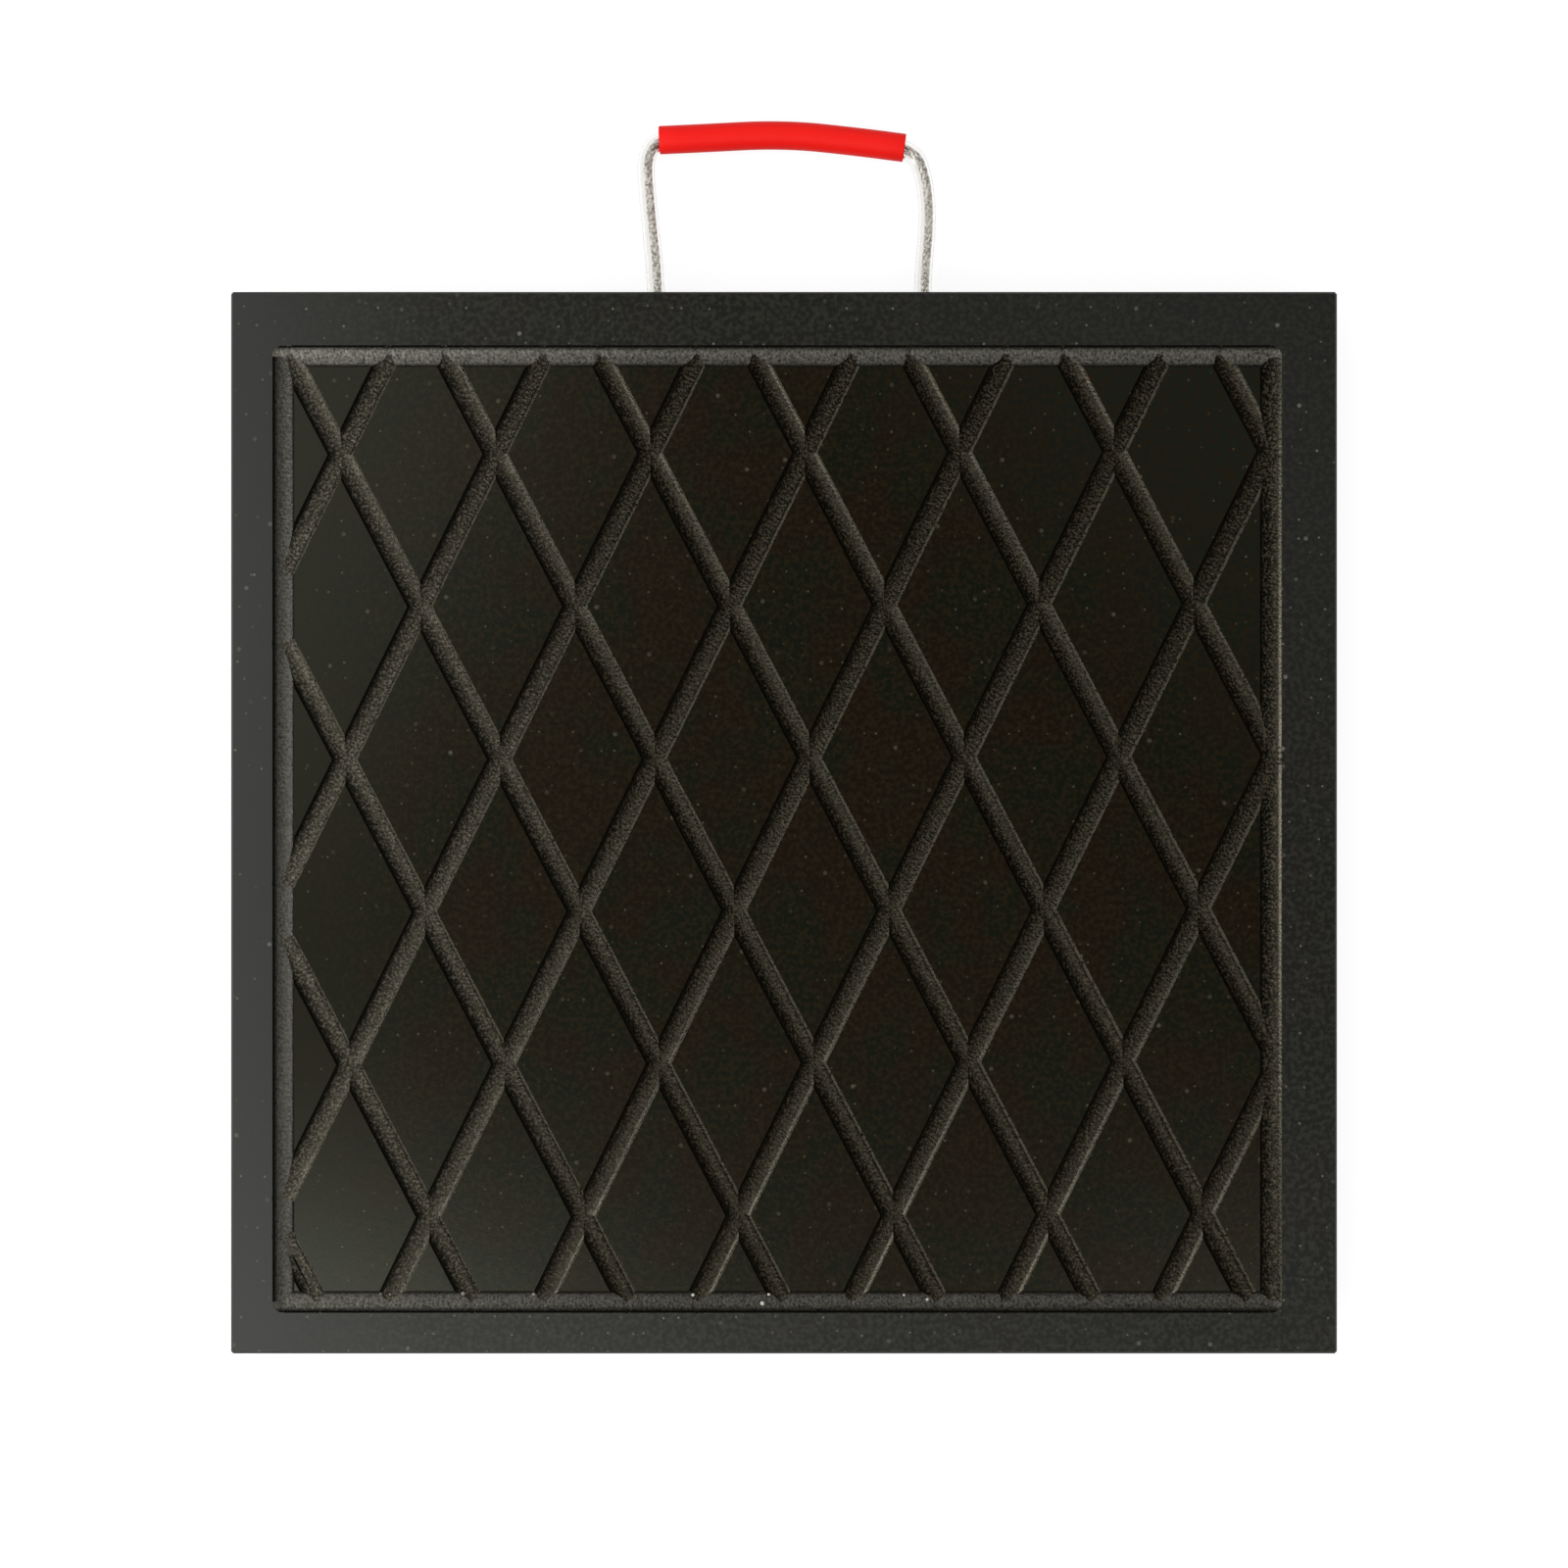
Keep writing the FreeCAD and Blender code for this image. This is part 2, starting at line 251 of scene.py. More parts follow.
@dataclass(frozen=True)
class Specks:
    """Pale specks of one size on a level face, in a share of the cells that it is divided into."""

    spacing: float
    radius: float
    share: float
    # The inner share of the radius that is wholly pale
    core: float = 0.5

    def mask(
        self, tree: bpy.types.NodeTree, place: bpy.types.NodeSocket
    ) -> bpy.types.NodeSocket:
        """Make the specks' mask.

        Args:
            tree: The node tree that gets the nodes.
            place: The object coordinates.

        Returns:
            Up to one in a speck, some fainter than others, and nought elsewhere.
        """
        cells = add_node(
            tree,
            "TexVoronoi",
            {"voronoi_dimensions": "2D"},
            {"Vector": place, "Scale": 1 / self.spacing},
        )
        reach = self.radius / self.spacing
        dots = add_node(
            tree,
            "MapRange",
            {},
            {0: cells.outputs["Distance"], 1: reach * self.core, 2: reach, 3: 1.0, 4: 0.0},
        )
        strength = add_node(
            tree, "MapRange", {}, {0: cells.outputs["Color"], 1: 0.0, 2: self.share, 3: 1.0, 4: 0.0}
        )
        mask = add_node(
            tree, "Math", {"operation": "MULTIPLY"}, {0: dots.outputs[0], 1: strength.outputs[0]}
        )
        return mask.outputs[0]


@dataclass(frozen=True)
class PlanedPolyethylene:
    """Black high density polyethylene, planed in a thicknesser and handled since.

    It has a dull, slightly waxy sheen, brown and green tints where the reground plastic didn't
    mix, a fine mottle, and pale specks where swarf and grit have scuffed it. It is painted
    lighter and greyer towards the plate's left edge, a painted sheen from the lamps on that side,
    and has a painted colder sheen in the right corner at the handle.
    """

    name: str
    brown: str = "#190e06"
    green: str = "#0f1309"
    mottle: str = "#211a0d"
    scuff: str = "#4f4a3d"
    # Painted sheen: the face is painted lighter and greyer towards the left edge, where the lamps
    # on the left glint
    painted_left_sheen: str = "#1c1a11"
    left_sheen_from: float = -150 * MM
    left_sheen_to: float = -245 * MM
    # The cast is a painted cold sheen in the corner at the handle, and grows with X and Y added up
    cast: str = "#191d17"
    corner_sheen_from: float = 200 * MM
    corner_sheen_to: float = 380 * MM
    lustre: str = "#eff5df"
    roughness: float = 0.23
    tint_size: float = 26 * MM
    tint_from: float = 0.43
    tint_to: float = 0.57
    mottle_size: float = 2.2 * MM
    mottle_from: float = 0.44
    mottle_to: float = 0.62
    specks: tuple[Specks, ...] = (
        Specks(spacing=8 * MM, radius=0.65 * MM, share=0.45),
        Specks(spacing=31 * MM, radius=1.2 * MM, share=0.7),
    )
    # Planer grain is about 0.3 mm, drawn three times as coarse so that it shows
    grain_size: float = 0.9 * MM
    grain_depth: float = 0.02 * MM

    def build(self) -> bpy.types.Material:
        """Make the material.

        Returns:
            The planed finish.
        """
        material, tree = new_material(self.name)
        place = add_node(tree, "TexCoord").outputs["Object"]
        patches = add_node(
            tree, "TexNoise", {}, {"Vector": place, "Scale": 1 / self.tint_size, "Detail": 4.0}
        )
        tints = add_node(
            tree, "MapRange", {}, {0: patches.outputs["Fac"], 1: self.tint_from, 2: self.tint_to}
        )
        colour = add_node(
            tree,
            "Mix",
            {"data_type": "RGBA"},
            {0: tints.outputs[0], 6: linear(self.brown), 7: linear(self.green)},
        )
        axes = add_node(tree, "SeparateXYZ", {}, {0: place})
        to_corner = add_node(
            tree, "Math", {"operation": "ADD"}, {0: axes.outputs["X"], 1: axes.outputs["Y"]}
        )
        # Painted cold sheen, towards the corner at the handle
        in_corner_sheen = add_node(
            tree, "MapRange", {}, {0: to_corner.outputs[0], 1: self.corner_sheen_from, 2: self.corner_sheen_to}
        )
        colour = add_node(
            tree,
            "Mix",
            {"data_type": "RGBA"},
            {0: in_corner_sheen.outputs[0], 6: colour.outputs[2], 7: linear(self.cast)},
        )
        fine = add_node(
            tree, "TexNoise", {}, {"Vector": place, "Scale": 1 / self.mottle_size, "Detail": 5.0}
        )
        mottle = add_node(
            tree, "MapRange", {}, {0: fine.outputs["Fac"], 1: self.mottle_from, 2: self.mottle_to}
        )
        colour = add_node(
            tree,
            "Mix",
            {"data_type": "RGBA"},
            {0: mottle.outputs[0], 6: colour.outputs[2], 7: linear(self.mottle)},
        )
        # Painted sheen, lighter and greyer towards the left edge
        left_sheen_share = add_node(
            tree, "MapRange", {}, {0: axes.outputs["X"], 1: self.left_sheen_from, 2: self.left_sheen_to}
        )
        colour = add_node(
            tree,
            "Mix",
            {"data_type": "RGBA"},
            {0: left_sheen_share.outputs[0], 6: colour.outputs[2], 7: linear(self.painted_left_sheen)},
        )
        for specks in self.specks:
            colour = add_node(
                tree,
                "Mix",
                {"data_type": "RGBA"},
                {0: specks.mask(tree, place), 6: colour.outputs[2], 7: linear(self.scuff)},
            )
        grain = add_node(
            tree, "TexNoise", {}, {"Vector": place, "Scale": 1 / self.grain_size, "Detail": 2.0}
        )
        bump = add_node(
            tree,
            "Bump",
            {},
            {"Height": grain.outputs["Fac"], "Distance": self.grain_depth, "Strength": 1.0},
        )
        shader = add_node(
            tree,
            "BsdfPrincipled",
            {},
            {
                "Base Color": colour.outputs[2],
                "Roughness": self.roughness,
                "IOR": PLASTIC_IOR,
                "Specular Tint": linear(self.lustre),
                "Normal": bump.outputs["Normal"],
            },
        )
        finish_surface(tree, shader.outputs["BSDF"])
        return material


@dataclass(frozen=True)
class MilledPolyethylene:
    """The same polyethylene where a ball-nosed cutter has milled it.

    The cutter's slow tip tears the floor of the groove, which is pale and grainy with marks
    across its path, one for each bite. Its faster flanks leave the steep sides smooth; they are
    painted near black, darker than the plastic's face, partly as painted shade in the groove's
    sides. A thin pale band along one lip is a painted highlight, where the lamps catch that side.
    """

    name: str
    heading: float = 0.0
    # Where the middle of one groove lies, across the heading, and how far it is to the next,
    # which is off the plate where the groove has no neighbour
    offset: float = 0.0
    spacing: float = 1.0
    black: str = "#060502"
    pale: str = "#3f3728"
    # The grooves are painted palest, and their floors lighter, towards the left edge: painted light
    # from the lamps on the left
    pale_with_painted_light: str = "#625e52"
    floor_with_painted_light: str = "#23211c"
    painted_light_from: float = -60 * MM
    painted_light_to: float = -230 * MM
    lustre: str = "#fff3d8"
    roughness: float = 0.3
    torn_from: float = 0.48
    torn_to: float = 0.66
    floor_half: float = 2.6 * MM
    side_from: float = 4.4 * MM
    # The surface counts as flank below the first share of the floor, and as floor above the second
    flank_below: float = 0.25
    floor_above: float = 0.75
    flank_roughness: float = 0.2
    flank_relief: float = 0.2
    # A painted highlight: a pale band along one lip, where the lamps from the left catch the
    # groove's side
    painted_lip_highlight: str = "#4c483e"
    lip_highlight_share: float = 0.0
    lip_highlight_from: float = 3.6 * MM
    lip_highlight_to: float = 4.3 * MM
    lip_highlight_broken: float = 0.35
    lip_highlight_whole: float = 0.5
    cutter_radius: float = 6 * MM
    mark_pitch: float = 2.1 * MM
    mark_depth: float = 0.035 * MM
    # Torn grain is about 0.5 mm, drawn twice as coarse so that it shows
    grain_size: float = 1.2 * MM
    grain_depth: float = 0.7 * MM

    def build(self) -> bpy.types.Material:
        """Make the material.

        Returns:
            The milled finish, with its marks across the heading.
        """
        material, tree = new_material(self.name)
        place = add_node(tree, "TexCoord").outputs["Object"]
        aside, along = self.place_in_groove(tree, place)
        off_line = add_node(tree, "Math", {"operation": "ABSOLUTE"}, {0: aside}).outputs[0]
        on_floor = add_node(
            tree,
            "MapRange",
            {},
            {0: off_line, 1: self.floor_half, 2: self.side_from, 3: 1.0, 4: 0.0},
        ).outputs[0]
        grain = add_node(
            tree, "TexNoise", {}, {"Vector": place, "Scale": 1 / self.grain_size, "Detail": 3.0}
        ).outputs["Fac"]
        roughness = add_node(
            tree,
            "MapRange",
            {},
            {
                0: on_floor,
                1: self.flank_below,
                2: self.floor_above,
                3: self.flank_roughness,
                4: self.roughness,
            },
        )
        shader = add_node(
            tree,
            "BsdfPrincipled",
            {},
            {
                "Base Color": self.tone(tree, place, aside, on_floor, grain),
                "Roughness": roughness.outputs[0],
                "IOR": PLASTIC_IOR,
                "Specular Tint": linear(self.lustre),
                "Normal": self.relief(tree, off_line, along, on_floor, grain),
            },
        )
        finish_surface(tree, shader.outputs["BSDF"])
        return material

    def place_in_groove(
        self, tree: bpy.types.NodeTree, place: bpy.types.NodeSocket
    ) -> tuple[bpy.types.NodeSocket, bpy.types.NodeSocket]:
        """Measure a place from the middle of the groove that it is in.

        Args:
            tree: The node tree that gets the nodes.
            place: The object coordinates.

        Returns:
            The distance aside, with its sign, and the distance along the groove.
        """
        turned = add_node(
            tree,
            "Mapping",
            {"vector_type": "POINT"},
            {"Vector": place, "Rotation": (0.0, 0.0, self.heading)},
        )
        axes = add_node(tree, "SeparateXYZ", {}, {0: turned.outputs[0]})
        moved = add_node(
            tree, "Math", {"operation": "SUBTRACT"}, {0: axes.outputs["X"], 1: self.offset}
        )
        aside = add_node(
            tree,
            "Math",
            {"operation": "WRAP"},
            {0: moved.outputs[0], 1: self.spacing / 2, 2: -self.spacing / 2},
        )
        return aside.outputs[0], axes.outputs["Y"]

    def tone(
        self,
        tree: bpy.types.NodeTree,
        place: bpy.types.NodeSocket,
        aside: bpy.types.NodeSocket,
        on_floor: bpy.types.NodeSocket,
        grain: bpy.types.NodeSocket,
    ) -> bpy.types.NodeSocket:
        """Colour the torn floor, the black sides, which are partly painted shade, and the painted
        highlight along one lip.

        Args:
            tree: The node tree that gets the nodes.
            place: The object coordinates.
            aside: The distance from the groove's middle, with its sign.
            on_floor: One on the floor and nought on the sides.
            grain: The torn grain.

        Returns:
            The colour.
        """
        grainy = add_node(
            tree, "MapRange", {}, {0: grain, 1: self.torn_from, 2: self.torn_to}
        )
        # Only the floor tears pale, so the steep sides stay near black: partly smooth plastic,
        # partly painted shade in the groove's sides
        torn = add_node(
            tree, "Math", {"operation": "MULTIPLY"}, {0: grainy.outputs[0], 1: on_floor}
        )
        axes = add_node(tree, "SeparateXYZ", {}, {0: place})
        # Painted light: the torn pale and the floor itself are painted lighter towards the left
        # edge
        painted_light_share = add_node(
            tree, "MapRange", {}, {0: axes.outputs["X"], 1: self.painted_light_from, 2: self.painted_light_to}
        )
        torn_colour = add_node(
            tree,
            "Mix",
            {"data_type": "RGBA"},
            {0: painted_light_share.outputs[0], 6: linear(self.pale), 7: linear(self.pale_with_painted_light)},
        )
        floor_painted_light = add_node(
            tree, "Math", {"operation": "MULTIPLY"}, {0: painted_light_share.outputs[0], 1: on_floor}
        )
        whole_colour = add_node(
            tree,
            "Mix",
            {"data_type": "RGBA"},
            {0: floor_painted_light.outputs[0], 6: linear(self.black), 7: linear(self.floor_with_painted_light)},
        )
        colour = add_node(
            tree,
            "Mix",
            {"data_type": "RGBA"},
            {0: torn.outputs[0], 6: whole_colour.outputs[2], 7: torn_colour.outputs[2]},
        )
        # Painted highlight along one lip, broken by the grain
        on_lip = add_node(
            tree,
            "MapRange",
            {},
            {0: aside, 1: self.lip_highlight_from, 2: self.lip_highlight_to, 4: self.lip_highlight_share},
        )
        unbroken = add_node(
            tree, "MapRange", {}, {0: grain, 1: self.lip_highlight_broken, 2: self.lip_highlight_whole}
        )
        painted_lip_highlight = add_node(
            tree, "Math", {"operation": "MULTIPLY"}, {0: on_lip.outputs[0], 1: unbroken.outputs[0]}
        )
        colour = add_node(
            tree,
            "Mix",
            {"data_type": "RGBA"},
            {0: painted_lip_highlight.outputs[0], 6: colour.outputs[2], 7: linear(self.painted_lip_highlight)},
        )
        return colour.outputs[2]

    def relief(
        self,
        tree: bpy.types.NodeTree,
        off_line: bpy.types.NodeSocket,
        along: bpy.types.NodeSocket,
        on_floor: bpy.types.NodeSocket,
        grain: bpy.types.NodeSocket,
    ) -> bpy.types.NodeSocket:
        """Raise the cutter's marks and the torn grain, both fainter on the sides.

        Args:
            tree: The node tree that gets the nodes.
            off_line: The distance from the groove's middle.
            along: The distance along the groove.
            on_floor: One on the floor and nought on the sides.
            grain: The torn grain.

        Returns:
            The normal.
        """
        squared = add_node(tree, "Math", {"operation": "MULTIPLY"}, {0: off_line, 1: off_line})
        bowed = add_node(
            tree,
            "Math",
            {"operation": "MULTIPLY_ADD"},
            {0: squared.outputs[0], 1: 1 / (2 * self.cutter_radius), 2: along},
        )
        phase = add_node(
            tree,
            "Math",
            {"operation": "MULTIPLY"},
            {0: bowed.outputs[0], 1: 2 * math.pi / self.mark_pitch},
        )
        marks = add_node(tree, "Math", {"operation": "SINE"}, {0: phase.outputs[0]})
        strength = add_node(
            tree,
            "MapRange",
            {},
            {0: on_floor, 1: self.flank_below, 2: self.floor_above, 3: self.flank_relief, 4: 1.0},
        )
        mark_bump = add_node(
            tree,
            "Bump",
            {},
            {
                "Height": marks.outputs[0],
                "Distance": self.mark_depth,
                "Strength": strength.outputs[0],
            },
        )
        bump = add_node(
            tree,
            "Bump",
            {},
            {
                "Height": grain,
                "Distance": self.grain_depth,
                "Strength": strength.outputs[0],
                "Normal": mark_bump.outputs["Normal"],
            },
        )
        return bump.outputs["Normal"]


@dataclass(frozen=True)
class SawnPolyethylene:
    """The plate's edges, cut by a saw and left as sawn: dull, with fine upright marks."""

    name: str
    black: str = "#12110e"
    pale: str = "#35332d"
    roughness: float = 0.5
    mark_pitch: float = 1.8 * MM
    mark_length: float = 60 * MM
    mark_depth: float = 0.15 * MM
    rubbed_from: float = 0.4
    rubbed_to: float = 0.75

    def build(self) -> bpy.types.Material:
        """Make the material.

        Returns:
            The sawn finish.
        """
        material, tree = new_material(self.name)
        place = add_node(tree, "TexCoord").outputs["Object"]
        stretched = add_node(
            tree,
            "Mapping",
            {},
            {
                "Vector": place,
                "Scale": (1 / self.mark_pitch, 1 / self.mark_pitch, 1 / self.mark_length),
            },
        )
        marks = add_node(
            tree, "TexNoise", {}, {"Vector": stretched.outputs[0], "Scale": 1.0, "Detail": 2.0}
        )
        rubbed = add_node(
            tree, "MapRange", {}, {0: marks.outputs["Fac"], 1: self.rubbed_from, 2: self.rubbed_to}
        )
        colour = add_node(
            tree,
            "Mix",
            {"data_type": "RGBA"},
            {0: rubbed.outputs[0], 6: linear(self.black), 7: linear(self.pale)},
        )
        bump = add_node(
            tree,
            "Bump",
            {},
            {"Height": marks.outputs["Fac"], "Distance": self.mark_depth, "Strength": 1.0},
        )
        shader = add_node(
            tree,
            "BsdfPrincipled",
            {},
            {
                "Base Color": colour.outputs[2],
                "Roughness": self.roughness,
                "IOR": PLASTIC_IOR,
                "Normal": bump.outputs["Normal"],
            },
        )
        finish_surface(tree, shader.outputs["BSDF"])
        return material


@dataclass(frozen=True)
class GalvanisedWire:
    """Drawn steel wire, galvanised: a soft grey metal with a slightly warm, patchy lustre."""

    name: str = "galvanised_steel_wire"
    zinc: str = "#f0ece8"
    dull: str = "#9a9087"
    roughness: float = 0.38
    patch_size: float = 1.3 * MM
    dull_from: float = 0.42
    dull_to: float = 0.62

    def build(self) -> bpy.types.Material:
        """Make the material.

        Returns:
            The wire's finish.
        """
        material, tree = new_material(self.name)
        place = add_node(tree, "TexCoord").outputs["Object"]
        patches = add_node(
            tree, "TexNoise", {}, {"Vector": place, "Scale": 1 / self.patch_size, "Detail": 3.0}
        )
        contrast = add_node(
            tree, "MapRange", {}, {0: patches.outputs["Fac"], 1: self.dull_from, 2: self.dull_to}
        )
        colour = add_node(
            tree,
            "Mix",
            {"data_type": "RGBA"},
            {0: contrast.outputs[0], 6: linear(self.zinc), 7: linear(self.dull)},
        )
        shader = add_node(
            tree,
            "BsdfPrincipled",
            {},
            {"Base Color": colour.outputs[2], "Metallic": 1.0, "Roughness": self.roughness},
        )
        finish_surface(tree, shader.outputs["BSDF"])
        return material


@dataclass(frozen=True)
class ClearPvc:
    """Extruded clear PVC: glassy, with a broad highlight and almost no cast of its own."""

    name: str = "clear_pvc"
    cast: str = "#f6f6f4"
    roughness: float = 0.12
    ior: float = 1.53

    def build(self) -> bpy.types.Material:
        """Make the material.

        Returns:
            The sheath's finish, which lets light through to what lies under it.
        """
        material, tree = new_material(self.name)
        body = add_node(
            tree,
            "BsdfPrincipled",
            {},
            {
                "Base Color": linear(self.cast),
                "Roughness": self.roughness,
                "IOR": self.ior,
                "Transmission Weight": 1.0,
            },
        )
        gap = add_node(tree, "BsdfTransparent", {}, {"Color": linear(self.cast)})
        ray = add_node(tree, "LightPath")
        shader = add_node(
            tree,
            "MixShader",
            {},
            {0: ray.outputs["Is Shadow Ray"], 1: body.outputs[0], 2: gap.outputs[0]},
        )
        finish_surface(tree, shader.outputs[0])
        return material


@dataclass(frozen=True)
class RedPvc:
    """Soft red PVC tube, extruded: an even, saturated red with a satin surface."""

    name: str = "soft_red_pvc"
    red: str = "#ff1b14"
    deep: str = "#fd1710"
    roughness: float = 0.5
    sheen: float = 0.18
    patch_size: float = 9 * MM
    grain_size: float = 0.8 * MM
    grain_depth: float = 0.015 * MM

    def build(self) -> bpy.types.Material:
        """Make the material.

        Returns:
            The grip's finish.
        """
        material, tree = new_material(self.name)
        place = add_node(tree, "TexCoord").outputs["Object"]
        patches = add_node(
            tree, "TexNoise", {}, {"Vector": place, "Scale": 1 / self.patch_size, "Detail": 2.0}
        )
        colour = add_node(
            tree,
            "Mix",
            {"data_type": "RGBA"},
            {0: patches.outputs["Fac"], 6: linear(self.red), 7: linear(self.deep)},
        )
        grain = add_node(
            tree, "TexNoise", {}, {"Vector": place, "Scale": 1 / self.grain_size, "Detail": 2.0}
        )
        bump = add_node(
            tree,
            "Bump",
            {},
            {"Height": grain.outputs["Fac"], "Distance": self.grain_depth, "Strength": 1.0},
        )
        shader = add_node(
            tree,
            "BsdfPrincipled",
            {},
            {
                "Base Color": colour.outputs[2],
                "Roughness": self.roughness,
                "IOR": PLASTIC_IOR,
                "Specular IOR Level": self.sheen,
                "Normal": bump.outputs["Normal"],
            },
        )
        finish_surface(tree, shader.outputs["BSDF"])
        return material


@dataclass(frozen=True)
class CutterRun:
    """One straight run of the ball-nosed cutter, between two places of its centre."""

    start: Vector
    end: Vector
    finish: Finish

    def nearest(self, place: Vector) -> Vector:
        """The cutter's centre on this run at its nearest to a place."""
        along = self.end - self.start
        share = (place - self.start).dot(along) / along.length_squared
        return self.start + along * min(1.0, max(0.0, share))


@dataclass
class PadPlate:
    """The plate: a merged copy of its CAD node, with the finishes of the tools that made it."""

    node: str = "pad_plate"
    merge_distance: float = 0.001 * MM
    cutter_radius: float = 6.0 * MM
    frame_depth: float = 2.6 * MM
    diamond_depth: float = 2.9 * MM
    groove_half_width: float = 4.7 * MM
    frame_left: float = -226.156 * MM
    frame_right: float = 219.956 * MM
    frame_far: float = -216.456 * MM
    frame_near: float = 210.756 * MM
    forward_pitch: float = 69.8 * MM
    forward_lean: float = math.radians(26.2)
    forward_offset: float = -3.1 * MM
    back_pitch: float = 70.1 * MM
    back_lean: float = math.radians(27.6)
    back_offset: float = 26.7 * MM
    # More than enough to cross the plate on each side of the middle one
    diagonals_each_side: int = 6
    # How far from a run's round bottom a facet may lie and still be part of it
    facet_sag: float = 0.3 * MM
    # How far below the top a facet's middle lies at least, where it is part of a groove
    least_depth: float = 0.02 * MM
    # How far below the frame groove's floor a facet is a diagonal's, and not the frame groove's
    crossing_depth: float = 0.03 * MM
    # The upward share of the normal on level faces, and on chamfers and groove sides at least
    level_rise: float = 0.99
    slope_rise: float = 0.3
    top: float = field(init=False)
    runs: list[CutterRun] = field(init=False)

    def __post_init__(self) -> None:
        """Read the plate's top from the frame and work out the cutter's runs."""
        self.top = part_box(self.node)[1][2]
        forward = (self.forward_lean, self.forward_offset, self.forward_pitch)
        back = (-self.back_lean, self.back_offset, self.back_pitch)
        self.runs = [
            *self.frame_runs(),
            *self.diagonal_runs(*forward, Finish.MILLED_FORWARD),
            *self.diagonal_runs(*back, Finish.MILLED_BACK),
        ]

    def build(self) -> bpy.types.Object:
        """Copy the node, dress it and round the grooves' shading.

        Returns:
            The finished plate.
        """
        plate = self.copy_node()
        self.merge(plate)
        self.dress(plate)
        self.round_grooves(plate)
        settle(plate, Slot.PLATE, self.node)
        return plate

    def copy_node(self) -> bpy.types.Object:
        """Copy the CAD node under a name of its own.

        Returns:
            The copy, which rides on nothing yet.
        """
        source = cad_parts[self.node]
        plate = bpy.data.objects.new("plate", source.data.copy())
        bpy.context.scene.collection.objects.link(plate)
        plate.data.materials.clear()
        make_active(plate)
        bpy.ops.mesh.customdata_custom_splitnormals_clear()
        return plate

    def merge(self, plate: bpy.types.Object) -> None:
        """Join the loose triangles.

        Args:
            plate: The copy of the node.
        """
        make_active(plate)
        bpy.ops.object.mode_set(mode="EDIT")
        bpy.ops.mesh.select_all(action="SELECT")
        bpy.ops.mesh.remove_doubles(threshold=self.merge_distance)
        bpy.ops.object.mode_set(mode="OBJECT")

    def frame_runs(self) -> list[CutterRun]:
        """The cutter's four runs round the frame groove.

        Returns:
            The runs, each with its finish.
        """
        height = self.top - self.frame_depth + self.cutter_radius
        corners = [
            Vector((x, y, height))
            for x, y in (
                (self.frame_left, self.frame_far),
                (self.frame_right, self.frame_far),
                (self.frame_right, self.frame_near),
                (self.frame_left, self.frame_near),
            )
        ]
        finishes = (
            Finish.MILLED_FAR_END,
            Finish.MILLED_RIGHT,
            Finish.MILLED_HANDLE_END,
            Finish.MILLED_LEFT,
        )
        return [
            CutterRun(start, end, finish)
            for start, end, finish in zip(corners, corners[1:] + corners[:1], finishes)
        ]

    def diagonal_runs(
        self, lean: float, offset: float, pitch: float, finish: Finish
    ) -> list[CutterRun]:
        """The cutter's runs in the diagonals that lean one way, clipped by the frame groove.

        Args:
            lean: The angle from the Y axis towards +X.
            offset: Where the middle one crosses the X axis.
            pitch: The distance from one to the next along X.
            finish: Their finish.

        Returns:
            The runs that are long enough to leave the frame groove.
        """
        height = self.top - self.diamond_depth + self.cutter_radius
        slope = math.tan(lean)
        runs = []
        for index in range(-self.diagonals_each_side, self.diagonals_each_side + 1):
            crossing = offset + index * pitch
            ends = []
            for level in (self.frame_far, self.frame_near):
                across = min(max(crossing + slope * level, self.frame_left), self.frame_right)
                ends.append(Vector((across, (across - crossing) / slope, height)))
            if (ends[1] - ends[0]).length > 2 * self.cutter_radius:
                runs.append(CutterRun(*ends, finish))
        return runs

    def run_of(self, polygon: bpy.types.MeshPolygon) -> CutterRun | None:
        """Find the cutter's run that left a face.

        Args:
            polygon: A face of the plate.

        Returns:
            The run, or nothing where the face is no part of a groove.
        """
        place = polygon.center
        if polygon.normal.z < self.slope_rise or place.z > self.top - self.least_depth:
            return None

        def gap(run: CutterRun) -> float:
            """How far the place lies off the round bottom that the run left."""
            return abs((run.nearest(place) - place).length - self.cutter_radius)

        best = min(self.runs, key=gap)
        return best if gap(best) < self.facet_sag else None

    def finishes(
        self,
    ) -> dict[Finish, PlanedPolyethylene | MilledPolyethylene | SawnPolyethylene]:
        """List the plate's finishes, in the order of its material slots.

        Returns:
            The look of each finish.
        """
        forward_square = math.cos(self.forward_lean)
        back_square = math.cos(self.back_lean)
        across_plate = math.pi / 2
